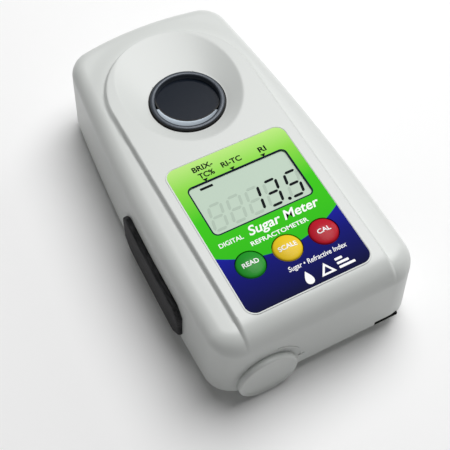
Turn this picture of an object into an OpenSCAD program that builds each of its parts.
// Handheld digital refractometer: a drop of juice is put in the well, a key is pressed,
// and the sugar content is read on the display.
// Origin: on the resting plane, in the middle of the outline. +Y is the well end, -Y the battery cap end.

/* [Body] */
// Half of the body's greatest width at the shoulder
body_half_w = 35.9; // [34:0.1:38]
// Y of the flat front wall
front_y = -65.65; // [-68:0.05:-63]
// Y of the arched far end
far_y = 67.05; // [66:0.05:70]
// Height of the flat panel that holds the label
panel_z = 36.5; // [34:0.5:40]
// Height of the lower edge of the upper shell
split_z = 5.2; // [4:0.1:7]
// Radius of the two bowed sides, seen from above
side_r = 783; // [600:10:1000]
// Radius of the arched far end, seen from above
far_r = 114; // [100:1:130]
// Radius of the two front corners, seen from above
front_corner_r = 9.5; // [9:0.1:12]
// Radius of the two far corners, seen from above
far_corner_r = 10; // [9:0.1:12]
// Wall thickness of the upper shell
wall = 2.4; // [2:0.1:3]
// How much wider the walls are at their lower edge than at the shoulder
draft = 0.9; // [0.5:0.1:1.2]

/* [Top face] */
// Half width of the raised panel
panel_half_w = 25.4; // [24:0.1:27]
// Y of the middle of the panel's round end
panel_round_y = 31.35; // [28:0.05:34]
// Height of the panel above the shoulders
panel_step = 1.7; // [1:0.1:2.5]
// Radius of the outer shoulder edge
shoulder_r = 5; // [4:0.5:6]
// Radius of the top front edge of the panel
front_edge_r = 8.7; // [7:0.1:9]

/* [Sample well] */
// Y of the middle of the well
well_y = 26.65; // [24:0.05:29]
// Outer radius of the well ring
ring_r = 12.95; // [12:0.05:14]
// Radius of the opening in the well ring
ring_hole_r = 11.2; // [10:0.1:12]
// Depth of the dish floor under the panel
dish_depth = 3.4; // [3:0.1:4]
// Depth of the measuring surface under the panel
glass_depth = 4.4; // [4.3:0.05:5]
// Half length of the dish rim
dish_half_l = 25.8; // [24:0.1:27]
// Y of the middle of the dish rim
dish_y = 32.95; // [31:0.05:34]

/* [Label, display and keys] */
// Width of the label
label_w = 43.5; // [42:0.5:45]
// Length of the label
label_l = 58.7; // [56:0.1:60]
// Y of the middle of the label
label_y = -28.65; // [-30:0.05:-27]
// Width of the display window
window_w = 35.4; // [33:0.1:37]
// Length of the display window
window_l = 19.6; // [18:0.1:21]
// Y of the middle of the display window
window_y = -18.35; // [-20:0.05:-17]
// Radius of a key cap
key_r = 4.75; // [4.5:0.05:5]
// Distance from one key to the next
key_pitch = 13; // [12:0.5:14]
// Y of the row of keys
key_y = -42.35; // [-44:0.05:-41]

/* [Battery] */
// X of the battery's axis
cell_x = -19.7; // [-21:0.1:-19]
// Z of the battery's axis
cell_z = 10.7; // [10.6:0.05:11]
// Radius of the battery cap
cap_r = 10.5; // [10:0.1:10.6]
// Radius of the cap's plug
plug_r = 9; // [8.5:0.1:9.2]
// Radius of the battery
cell_r = 7.25; // [7:0.05:7.3]

/* [Grips] */
// Y of the front end of the side grips
grip_front_y = -40.85; // [-43:0.05:-38]
// Length of the side grips
grip_l = 43.5; // [40:0.5:46]
// How far the grips stand out from the shoulder line
grip_out = 2.35; // [1.5:0.05:3]

/* [Hidden] */

$fn = 96;
gap = 0.05;             // clearance between fixed pieces that touch
fine = 720;             // fineness of the large arcs
eps = 0.5;              // how far a cutter runs past a face
huge = 200;

// Heights worked out from the panel
shoulder_z = panel_z - panel_step;
ceiling_z = panel_z - 2.4;
label_top_z = panel_z - 0.1;
label_floor_z = panel_z - 0.5;
dish_floor_z = panel_z - dish_depth;
dish_under_z = dish_floor_z - 2;
glass_z = panel_z - glass_depth;
ring_top_z = panel_z - 2.3;

// Screw positions
shell_screw_at = [[-6, -57], [29, -55], [-22, 56], [22, 56]];
board_screw_at = [[-24, -49], [24, -49], [-24, 1], [24, 1]];
optics_screw_at = [[-17.5, 12], [17.5, 12], [-17.5, 50], [17.5, 50]];

// Circuit board and what stands on it
board_z = 24;
board_t = 1.6;
board_top_z = board_z + board_t;
key_edge_z = panel_z + 0.1;
key_dome_h = 1;
key_flange_z = ceiling_z - 1.2;
plunger_top_z = board_top_z + 4.8;
switch_h = 3.4;

// Battery compartment
tube_front_y = front_y + 4.85;
tube_end_y = -5;
tube_r = 8.6;
tube_bore_r = cell_r + 0.3;
bore_r = plug_r + gap;
bore_boss_r = 10.4;
cell_front_y = -58.5;
cell_shoulder_y = -9.5;

// Cap
cap_back_y = front_y - 0.1;
cap_front_y = -far_y - draft;
cap_step_z = cell_z - 3;
cap_step_t = 0.8;
plug_back_y = tube_front_y - 0.7;
seal_major_r = 8.4;
seal_minor_r = 0.55;
seal_y = front_y + 1.6;

// ---------- Outline of the body, seen from above ----------

function polar(angle) = [cos(angle), sin(angle)];
side_centre = [body_half_w - side_r, -39.05];
far_centre = [0, far_y - far_r];
front_corner_y = front_y + front_corner_r;
front_corner_x = side_centre[0]
    + sqrt(pow(side_r - front_corner_r, 2) - pow(front_corner_y - side_centre[1], 2));
front_corner = [front_corner_x, front_corner_y];

// Meeting point on the right of two circles, given by centre and radius
function meet(a, ra, b, rb) =
    let (d = norm(b - a), u = (b - a) / d, along = (ra * ra - rb * rb + d * d) / (2 * d))
    a + u * along + [-u[1], u[0]] * sqrt(ra * ra - along * along);
far_corner = meet(side_centre, side_r - far_corner_r, far_centre, far_r - far_corner_r);

function angle_of(v) = atan2(v[1], v[0]);
front_turn = angle_of(front_corner - side_centre);
far_turn = angle_of(far_corner - side_centre);
arch_turn = angle_of(far_corner - far_centre);

// Where a corner arc sits: its middle, its radius, and the directions it runs between
corners = [
    [front_corner, front_corner_r, -90, front_turn],
    [far_corner, far_corner_r, far_turn, arch_turn]
];

// Points of one arc pulled in by an inset, from one direction up to the next
function arc(centre, r, from, to, steps, inset) =
    [for (i = [0 : steps - 1]) centre + (r - inset) * polar(from + (to - from) * i / steps)];

// Right half of the outline from the front corner to the middle of the far end
function right_half(inset) = concat(
    arc(front_corner, front_corner_r, -90, front_turn, 8, inset),
    arc(side_centre, side_r, front_turn, far_turn, 8, inset),
    arc(far_corner, far_corner_r, far_turn, arch_turn, 8, inset),
    arc(far_centre, far_r, arch_turn, 90, 4, inset)
);

// Outline pulled in by an inset: two bowed sides, an arched far end, a straight front
// and four round corners
module plan(inset) {
    right = right_half(inset);
    n = len(right);
    polygon(concat(right, [[0, far_y - inset]], [for (i = [n - 1 : -1 : 0]) [-right[i][0], right[i][1]]]));
}

// Wedge outwards from the middle of a corner arc, between the arc's end directions
module corner_wedge(c) {
    polygon([[0, 0], 30 * polar(c[2]), 50 * polar((c[2] + c[3]) / 2), 30 * polar(c[3])]);
}

// Section of a wall from an axis out to its reach, wider by the flare at its foot,
// with a rounded upper edge
module wall_section(reach, flare, low_z, high_z, edge_r) {
    polygon([[0, low_z], [reach + flare, low_z], [reach, high_z - edge_r],
        [reach - edge_r, high_z], [0, high_z]]);
    if (edge_r > 0) translate([reach - edge_r, high_z - edge_r]) circle(edge_r, $fn = 96);
}

// Block with the body's outline, from low_z up to high_z
module body_block(inset, flare, low_z, high_z, edge_r, front_r) {
    difference() {
        intersection() {
            translate(side_centre) rotate_extrude($fn = fine)
                wall_section(side_r - inset, flare, low_z, high_z, edge_r);
            mirror([1, 0, 0]) translate(side_centre) rotate_extrude($fn = fine)
                wall_section(side_r - inset, flare, low_z, high_z, edge_r);
            translate(far_centre) rotate_extrude($fn = fine)
                wall_section(far_r - inset, flare, low_z, high_z, edge_r);
            rotate([90, 0, 90]) translate([huge + front_y + inset, 0]) linear_extrude(huge, center = true)
                mirror([1, 0]) wall_section(huge, min(flare, 0), low_z, high_z, front_r);
        }
        for (side = [0, 1]) for (c = corners) mirror([side, 0, 0]) translate(c[0]) difference() {
            translate([0, 0, -1]) linear_extrude(high_z + 2) corner_wedge(c);
            cylinder(h = high_z + eps, r1 = c[1] - inset + flare, r2 = c[1] - inset);
        }
    }
}

// ---------- Shared shapes ----------

module rounded_rect(w, l, r) {
    for (x = [-1, 1]) for (y = [-1, 1])
        translate([x * (w / 2 - r), y * (l / 2 - r)]) circle(r);
    square([w - 2 * r, l], center = true);
    square([w, l - 2 * r], center = true);
}

module at_keys() {
    for (i = [-1 : 1]) translate([i * key_pitch, key_y, 0]) children();
}

module along_y(y) {
    translate([cell_x, y, cell_z]) rotate([-90, 0, 0]) children();
}

// Screw with its head at the bottom, pointing up
module screw(head_r, head_h, shank_r, length) {
    difference() {
        cylinder(h = head_h, r = head_r);
        translate([0, 0, -gap]) {
            cube([head_r * 1.2, 0.6, 1.2], center = true);
            cube([0.6, head_r * 1.2, 1.2], center = true);
        }
    }
    translate([0, 0, head_h - gap]) cylinder(h = length, r = shank_r);
}

// Plan of the raised panel: straight sides and a round far end
module panel_plan(shrink) {
    translate([0, panel_round_y]) circle(panel_half_w - shrink);
    translate([-panel_half_w + shrink, front_y - eps])
        square([2 * (panel_half_w - shrink), panel_round_y - front_y + eps]);
}

// ---------- Housing ----------

module outer_skin() {
    body_block(0, draft, split_z, shoulder_z, shoulder_r, front_edge_r - panel_step);
}

module panel_block() {
    edge_y = front_y + front_edge_r;
    edge_z = panel_z - front_edge_r;
    intersection() {
        translate([0, 0, edge_z]) linear_extrude(panel_z - edge_z) panel_plan(0);
        rotate([90, 0, 90]) linear_extrude(2 * panel_half_w + 2, center = true) {
            translate([edge_y, edge_z]) circle(front_edge_r);
            translate([edge_y, edge_z - 1]) square([huge, front_edge_r + 1]);
        }
    }
}

module cavity() {
    panel_room_end = 6;
    body_block(wall, draft, split_z - eps, shoulder_z - wall, 2, 4);
    translate([0, 0, shoulder_z - 8]) linear_extrude(ceiling_z - shoulder_z + 8)
        translate([-panel_half_w + wall, front_y + 6])
            square([2 * (panel_half_w - wall), panel_room_end - front_y - 6]);
}

// Round floor with a leaning cone above it: steep at the near side, shallow at the far side
module dish() {
    floor_r = ring_r + 0.65;
    near_rim = dish_y - dish_half_l;
    far_rim = dish_y + dish_half_l;
    near_slope = atan2(dish_depth, well_y - floor_r - near_rim);
    far_slope = atan2(dish_depth, far_rim - well_y - floor_r);
    tip_y = (near_rim * tan(near_slope) + far_rim * tan(far_slope)) / (tan(near_slope) + tan(far_slope));
    tip_z = panel_z - tan(near_slope) * (tip_y - near_rim);
    lean = (near_slope - far_slope) / 2;
    opening = 90 - (near_slope + far_slope) / 2;
    cone_h = 12;
    intersection() {
        translate([0, tip_y, tip_z]) rotate([-lean, 0, 0])
            cylinder(h = cone_h, r1 = 0, r2 = cone_h * tan(opening));
        translate([-huge / 2, -huge / 2, dish_floor_z]) cube(huge);
    }
    translate([0, well_y, dish_floor_z]) cylinder(h = 10, r = floor_r);
}

module dish_backing() {
    backing_r = 22.5;
    translate([0, 0, dish_under_z]) linear_extrude(shoulder_z - dish_under_z - 0.5) {
        translate([0, 29]) circle(backing_r);
        translate([0, 36]) circle(backing_r - 0.5);
    }
}

module grip_shape(clear) {
    chamfer = 3.5;
    low = split_z + 0.3;
    high = 22.6;
    y0 = grip_front_y - clear;
    y1 = grip_front_y + grip_l + clear;
    z0 = low - clear;
    z1 = high + clear;
    inner = side_r - 0.8 - clear;
    intersection() {
        translate([side_centre[0], side_centre[1], 0]) difference() {
            cylinder(h = 40, r = side_r + grip_out, $fn = 1440);
            translate([0, 0, -1]) cylinder(h = 42, r = inner, $fn = 1440);
        }
        rotate([90, 0, 90]) linear_extrude(60)
            polygon([[y0 + chamfer, z0], [y1 - chamfer, z0], [y1, z0 + chamfer], [y1, z1 - chamfer],
                [y1 - chamfer, z1], [y0 + chamfer, z1], [y0, z1 - chamfer], [y0, z0 + chamfer]]);
    }
}

module label_plan(shrink) {
    corner_r = 3.5;
    translate([0, label_y]) rounded_rect(label_w - 2 * shrink, label_l - 2 * shrink, corner_r);
}

module window_plan(shrink) {
    corner_r = 1.7;
    translate([0, window_y]) rounded_rect(window_w - 2 * shrink, window_l - 2 * shrink, corner_r);
}

module top_shell() {
    post_r = 3;
    small_post_r = 2.4;
    color("whitesmoke") difference() {
        union() {
            difference() {
                union() {
                    outer_skin();
                    panel_block();
                }
                cavity();
            }
            dish_backing();
            for (p = shell_screw_at) translate([p[0], p[1], split_z + gap])
                cylinder(h = ceiling_z - split_z + 0.3, r = post_r);
            for (p = board_screw_at) translate([p[0], p[1], board_top_z + gap])
                cylinder(h = ceiling_z - board_top_z + 0.5, r = small_post_r);
            for (p = optics_screw_at) translate([p[0], p[1], 29.5])
                cylinder(h = 4, r = small_post_r);
            intersection() {
                along_y(front_y + 1) cylinder(h = tube_front_y - front_y - 1 - gap, r = bore_boss_r);
                translate([-huge / 2, -huge / 2, split_z]) cube(huge);
            }
        }
        dish();
        translate([0, well_y, dish_under_z - eps]) cylinder(h = 10, r = ring_r + 0.5);
        translate([0, 0, label_floor_z]) linear_extrude(2) label_plan(-0.15);
        translate([0, 0, ceiling_z - 3]) linear_extrude(8) window_plan(0);
        at_keys() translate([0, 0, ceiling_z - 3]) cylinder(h = 8, r = key_r + 0.3);
        along_y(front_y - eps) cylinder(h = 8, r = bore_r);
        for (p = shell_screw_at) translate([p[0], p[1], 0]) cylinder(h = 18, r = 1.25);
        for (p = board_screw_at) translate([p[0], p[1], board_z]) cylinder(h = 7.5, r = 0.95);
        for (p = optics_screw_at) translate([p[0], p[1], 25]) cylinder(h = 8.3, r = 1.05);
        for (side = [0, 1]) mirror([side, 0, 0]) grip_shape(gap);
        // Lanyard slot in the lower front edge
        translate([21, front_y - 3, split_z - 1]) cube([9, 8, 3]);
    }
}

module bottom_shell() {
    floor_t = 1.8;
    // The foot draws in towards the resting plane in steps
    steps = 4;
    step_h = split_z / steps;
    foot_inset = 4.2;
    top_inset = 0.6;
    color("gainsboro") difference() {
        union() {
            difference() {
                for (k = [0 : steps - 1])
                    translate([0, 0, k * step_h]) linear_extrude(split_z - k * step_h)
                        plan(foot_inset - k * (foot_inset - top_inset) / (steps - 1));
                translate([0, 0, floor_t]) linear_extrude(huge) plan(5.4);
            }
            for (p = shell_screw_at) translate([p[0], p[1], 0.5]) cylinder(h = 4.4, r = 3.4);
            intersection() {
                along_y(front_y) cylinder(h = tube_front_y - front_y - gap, r = bore_boss_r);
                translate([-huge / 2, -huge / 2, cell_z - bore_boss_r]) cube([huge, huge, 4.9]);
            }
        }
        along_y(front_y - eps) cylinder(h = tube_front_y - front_y + 2, r = bore_r);
        for (p = shell_screw_at) translate([p[0], p[1], -eps]) {
            cylinder(h = eps + 1.8, r = 2.7);
            cylinder(h = 8, r = 1.4);
        }
    }
}

module shell_seal() {
    color("dimgray") difference() {
        translate([0, 0, split_z + gap]) linear_extrude(1.2) difference() {
            plan(2.55);
            plan(3.4);
        }
        // Broken where the collar of the battery opening passes
        along_y(front_y) cylinder(h = 8, r = bore_boss_r + gap);
    }
}

module shell_screws() {
    color("silver") for (p = shell_screw_at) translate([p[0], p[1], 0.2])
        screw(2.5, 1.5, 1.2, 14);
}

module left_grip() {
    color("#1c1c1e") mirror([1, 0, 0]) grip_shape(0);
}

module right_grip() {
    color("#1c1c1e") grip_shape(0);
}

// ---------- Label, window and keys ----------

module graphic_overlay() {
    color("#4fa33a") translate([0, 0, label_floor_z + 0.02])
        linear_extrude(label_top_z - label_floor_z - 0.02) difference() {
            label_plan(0);
            window_plan(0);
            for (i = [-1 : 1]) translate([i * key_pitch, key_y]) circle(key_r + 0.3);
        }
}

module window_lens() {
    color("#b9c6b4", 0.4) translate([0, 0, ceiling_z + 0.1])
        linear_extrude(label_top_z - ceiling_z - 0.15) window_plan(0.1);
}

module key_cap(i) {
    dome_r = (key_r * key_r + key_dome_h * key_dome_h) / (2 * key_dome_h);
    translate([i * key_pitch, key_y, 0]) {
        intersection() {
            translate([0, 0, key_flange_z]) cylinder(h = 6, r = key_r);
            translate([0, 0, key_edge_z + key_dome_h - dome_r]) sphere(dome_r, $fn = 192);
        }
        translate([0, 0, key_flange_z]) cylinder(h = 1, r = 5.9);
        translate([0, 0, plunger_top_z]) cylinder(h = key_flange_z - plunger_top_z + 0.5, r = 1.6);
    }
}

module key_plunger(i) {
    translate([i * key_pitch, key_y, board_top_z + 1.8])
        cylinder(h = plunger_top_z - board_top_z - 1.8, r = 1.5);
}

module key_switch(i) {
    side = 6;
    translate([i * key_pitch, key_y, board_top_z + gap]) difference() {
        translate([-side / 2, -side / 2, 0]) cube([side, side, switch_h]);
        translate([0, 0, 0.7]) cylinder(h = switch_h, r = 1.5 + gap);
    }
}

module read_key() { color("#2f9e3f") key_cap(-1); }
module scale_key() { color("#e8b32c") key_cap(0); }
module cal_key() { color("#c62a34") key_cap(1); }
module read_plunger() { color("ivory") key_plunger(-1); }
module scale_plunger() { color("ivory") key_plunger(0); }
module cal_plunger() { color("ivory") key_plunger(1); }
module read_switch() { color("#303030") key_switch(-1); }
module scale_switch() { color("#303030") key_switch(0); }
module cal_switch() { color("#303030") key_switch(1); }

// ---------- Display and circuit board ----------

lcd_w = 40;
lcd_l = 25.3;
lcd_t = 2.8;
lcd_z = ceiling_z - 0.1 - lcd_t;

module lcd_cell() {
    color("#a9b8a4") translate([-lcd_w / 2, window_y - lcd_l / 2, lcd_z]) cube([lcd_w, lcd_l, lcd_t]);
}

module lcd_frame() {
    rim = 2;
    color("white") translate([0, window_y, board_top_z + gap]) difference() {
        translate([-lcd_w / 2 - rim, -lcd_l / 2 - rim, 0])
            cube([lcd_w + 2 * rim, lcd_l + 2 * rim, lcd_z - board_top_z - 0.1]);
        translate([-lcd_w / 2 - 0.3, -lcd_l / 2 - 0.3, -1]) cube([lcd_w + 0.6, lcd_l + 0.6, 20]);
    }
}

module lcd_connectors() {
    strip_w = 2;
    color("#3a3a3a") for (side = [-1, 1])
        translate([-18, window_y + side * (lcd_l / 2 - strip_w / 2) - strip_w / 2, board_top_z + gap])
            cube([36, strip_w, lcd_z - board_top_z - 2 * gap]);
}

module main_board() {
    half_w = 27;
    y0 = -52;
    y1 = 4;
    color("#1f6b3a") difference() {
        translate([-half_w, y0, board_z]) cube([2 * half_w, y1 - y0, board_t]);
        for (p = board_screw_at) translate([p[0], p[1], board_z - 1]) cylinder(h = 4, r = 1.2);
    }
}

module processor_chip() {
    side = 10;
    color("#26262a") {
        translate([7, -30, board_z - gap - 1.4]) cube([side, side, 1.4]);
        for (k = [0 : 6]) for (end = [-1, side])
            translate([7 + end, -29.3 + 1.35 * k, board_z - gap - 0.9]) cube([1.2, 0.5, 0.9]);
    }
}

module board_components() {
    under = board_z - gap;
    color("#b5a642") {
        for (k = [0 : 4]) translate([-4 + 5 * k, -14, under - 1]) cube([3, 1.6, 1]);
        for (k = [0 : 3]) translate([-4 + 6 * k, -8, under - 1.2]) cube([2, 1.2, 1.2]);
        translate([4, -38, under - 4]) cylinder(h = 4, r = 3);
        translate([14, -40, under - 2.5]) cube([9, 4, 2.5]);
        translate([13.5, -3, board_top_z + gap]) cube([7, 4, 1.2]);
    }
}

module board_screws() {
    color("silver") for (p = board_screw_at) translate([p[0], p[1], board_z - gap - 1.2])
        screw(1.9, 1.2, 0.9, 6.5);
}

// ---------- Sample well and optics ----------

// The measuring surface sits off the well's middle, in the direction of the far right corner
eye_shift = 4;
eye_turn = -28;

// Round shape of a radius around the shifted measuring surface, seen from the well's middle
module eye(r, h) {
    rotate([0, 0, eye_turn]) translate([0, eye_shift, 0]) cylinder(h = h, r = r);
}

module well_ring() {
    flange_r = 15.5;
    flange_z = dish_under_z - 1.6;
    edge = 0.5;
    color("#5b6068") translate([0, well_y, 0]) rotate_extrude()
        polygon([[ring_hole_r, flange_z], [flange_r, flange_z], [flange_r, flange_z + 1.5],
            [ring_r, flange_z + 1.5], [ring_r, ring_top_z - edge], [ring_r - edge, ring_top_z],
            [ring_hole_r + edge, ring_top_z], [ring_hole_r, ring_top_z - edge]]);
}

module well_seal() {
    color("black") translate([0, well_y, dish_under_z + 0.2]) difference() {
        cylinder(h = 1.2, r = ring_r + 0.45);
        translate([0, 0, -1]) cylinder(h = 4, r = ring_r + gap);
    }
}

// Bright crescent at the near side of the well, beside the measuring surface
module well_insert() {
    insert_r = ring_hole_r - gap;
    color("#d9dcdf") translate([0, well_y, glass_z - 1.4]) difference() {
        cylinder(h = 1.4, r = insert_r);
        translate([0, 0, -1]) eye(insert_r + 0.65, 4);
    }
}

module prism_gasket() {
    color("black") translate([0, well_y, glass_z - 1.4]) intersection() {
        cylinder(h = 1.35, r = ring_hole_r - gap);
        difference() {
            eye(ring_hole_r + 0.55, 1.35);
            translate([0, 0, -1]) eye(ring_hole_r + 0.15, 4);
        }
    }
}

module prism() {
    slab_t = 1.2;
    half_w = 5.2;
    color("#20242a", 0.7) {
        translate([0, well_y, glass_z - slab_t]) intersection() {
            cylinder(h = slab_t, r = ring_hole_r - gap);
            eye(ring_hole_r + 0.1, slab_t);
        }
        translate([0, 0, glass_z - slab_t]) rotate([90, 0, 90]) linear_extrude(2 * half_w, center = true)
            polygon([[22.3, 0.1], [34.3, 0.1], [34.3, -1], [31, -5.6], [23.8, -5.6], [22.3, -1]]);
    }
}

module optics_block() {
    plate_z = 26.9;
    plate_t = 2.4;
    color("#2b2b2e") difference() {
        union() {
            translate([-20, 8, plate_z]) cube([40, 45.5, plate_t]);
            translate([-13, 14, 9]) cube([26, 36, plate_z - 8]);
        }
        translate([-8, 17, 11]) cube([16, 30, 20]);
        translate([-8, 46, 13]) cube([16, 6, 11]);
        for (p = optics_screw_at) translate([p[0], p[1], plate_z - 1]) cylinder(h = 5, r = 1.3);
        temperature_probe(gap);
    }
}

module optics_screws() {
    color("silver") for (p = optics_screw_at) translate([p[0], p[1], 25.6])
        screw(2, 1.2, 1, 6);
}

module light_source() {
    color("#e9e3c4") translate([0, 21, 13]) rotate([-24.4, 0, 0]) {
        cylinder(h = 1, r = 3);
        cylinder(h = 3, r = 2.5);
        translate([0, 0, 3]) sphere(2.5);
    }
}

module collimating_lens() {
    color("#cfe0ea", 0.6) translate([0, 24.4, 20.4]) rotate([-24.4, 0, 0]) intersection() {
        cylinder(h = 2, r = 3.4);
        translate([0, 0, -4]) sphere(6);
    }
}

module fold_mirror() {
    color("lightgray") translate([0, 37, 17]) rotate([38, 0, 0]) cube([13, 10, 1.2], center = true);
}

module sensor_board() {
    color("#1f6b3a") translate([-10, 50.15, 12]) cube([25.2, 1.4, 14.3]);
}

module sensor_array() {
    color("#202024") translate([-7, 48.4, 14]) cube([14, 1.7, 8]);
}

// Small block in a pocket of the optics block, under the edge of the measuring surface
module temperature_probe(clear) {
    side = 2.4 + 2 * clear;
    translate([9.4, well_y, dish_under_z - 2.2]) cube([side / 2, side, side], center = true);
}

module temperature_sensor() {
    color("#3c3c40") temperature_probe(0);
}

module sensor_cable() {
    color("#c9a15a") translate([13.4, 1.3, board_top_z + 0.1]) cube([1.8, 48.7, 0.2]);
}

// ---------- Battery compartment ----------

module battery_tube() {
    end_wall = 1.2;
    color("#d8d8d4") difference() {
        along_y(tube_front_y) cylinder(h = tube_end_y - tube_front_y, r = tube_r);
        along_y(tube_front_y - 1) cylinder(h = tube_end_y - tube_front_y + 1 - end_wall, r = tube_bore_r);
        along_y(tube_end_y - 3) cylinder(h = 5, r = 1);
    }
}

module battery_cell() {
    color("#3b4a63") {
        along_y(cell_front_y) cylinder(h = cell_shoulder_y - cell_front_y, r = cell_r);
        along_y(cell_shoulder_y - 1) cylinder(h = 2.4, r = 2.75);
    }
}

module cell_contact() {
    color("silver") {
        along_y(-7.3) cylinder(h = 0.6, r = 6);
        along_y(-8) cylinder(h = 1, r = 2);
    }
}

module battery_leads() {
    wire_r = 0.6;
    color("firebrick") {
        along_y(-6.6) cylinder(h = 3.4, r = wire_r);
        translate([cell_x, -3.4, cell_z]) cylinder(h = board_z - cell_z - 0.1, r = wire_r);
        translate([cell_x - 1, tube_front_y + 1, cell_z + tube_r + 0.05])
            cube([2, -tube_front_y - 7, 0.3]);
        translate([cell_x - 1, -8, cell_z + tube_r + 0.05])
            cube([0.6, 1.6, board_z - cell_z - tube_r - 0.15]);
    }
}

module battery_cap() {
    rim = 0.8;
    cap_t = cap_back_y - cap_front_y;
    groove_r = seal_major_r - seal_minor_r - 0.05;
    groove_half = seal_minor_r + 0.1;
    color("whitesmoke") difference() {
        union() {
            difference() {
                along_y(cap_front_y) {
                    translate([0, 0, rim]) cylinder(h = cap_t - rim, r = cap_r);
                    cylinder(h = cap_t, r = cap_r - rim);
                    translate([0, 0, rim]) rotate_extrude() translate([cap_r - rim, 0]) circle(rim, $fn = 48);
                }
                // Lower part of the face, set back to make an edge for the fingers
                translate([-huge / 2, cap_front_y - 1, cap_step_z - huge]) cube([huge, 1 + cap_step_t, huge]);
            }
            along_y(cap_back_y - 0.1) cylinder(h = plug_back_y - cap_back_y + 0.1, r = plug_r);
        }
        along_y(seal_y - groove_half) difference() {
            cylinder(h = 2 * groove_half, r = cap_r);
            translate([0, 0, -1]) cylinder(h = 4, r = groove_r);
        }
        along_y(cap_back_y + 1.4) cylinder(h = 10, r = 7);
    }
}

module cap_seal() {
    color("black") along_y(seal_y) rotate_extrude() translate([seal_major_r, 0]) circle(seal_minor_r, $fn = 32);
}

// Solid built up from rings, each a list of 3-D points, lowest first
module ring_solid(rings) {
    n = len(rings[0]);
    m = len(rings);
    sides = [for (k = [0 : m - 2]) for (i = [0 : n - 1]) let (j = (i + 1) % n)
        [k * n + i, (k + 1) * n + i, (k + 1) * n + j, k * n + j]];
    polyhedron(
        points = [for (ring = rings) for (p = ring) p],
        faces = concat(sides, [[for (i = [0 : n - 1]) i]],
            [[for (i = [n - 1 : -1 : 0]) (m - 1) * n + i]]),
        convexity = 4
    );
}

// Compression spring: 8-sided rings swept along a helix
module cap_spring() {
    turns = 3;
    steps = 18;
    coil_r = 5.2;
    wire_r = 0.35;
    spring_l = cell_front_y - cap_back_y - 1.6;
    pitch = (spring_l - 2 * wire_r) / turns;
    function wire_point(a, b) =
        (coil_r + wire_r * cos(b)) * [cos(a), sin(a), 0] + [0, 0, wire_r + pitch * a / 360 + wire_r * sin(b)];
    color("silver") along_y(cap_back_y + 1.45)
        ring_solid([for (k = [0 : steps * turns])
            [for (j = [0 : 7]) wire_point(360 * k / steps, -45 * j)]]);
}

top_shell();
bottom_shell();
shell_seal();
shell_screws();
left_grip();
right_grip();
graphic_overlay();
window_lens();
read_key();
scale_key();
cal_key();
read_plunger();
scale_plunger();
cal_plunger();
read_switch();
scale_switch();
cal_switch();
lcd_cell();
lcd_frame();
lcd_connectors();
main_board();
processor_chip();
board_components();
board_screws();
well_ring();
well_seal();
well_insert();
prism_gasket();
prism();
optics_block();
optics_screws();
light_source();
collimating_lens();
fold_mirror();
sensor_board();
sensor_array();
temperature_sensor();
sensor_cable();
battery_tube();
battery_cell();
cell_contact();
battery_leads();
battery_cap();
cap_seal();
cap_spring();
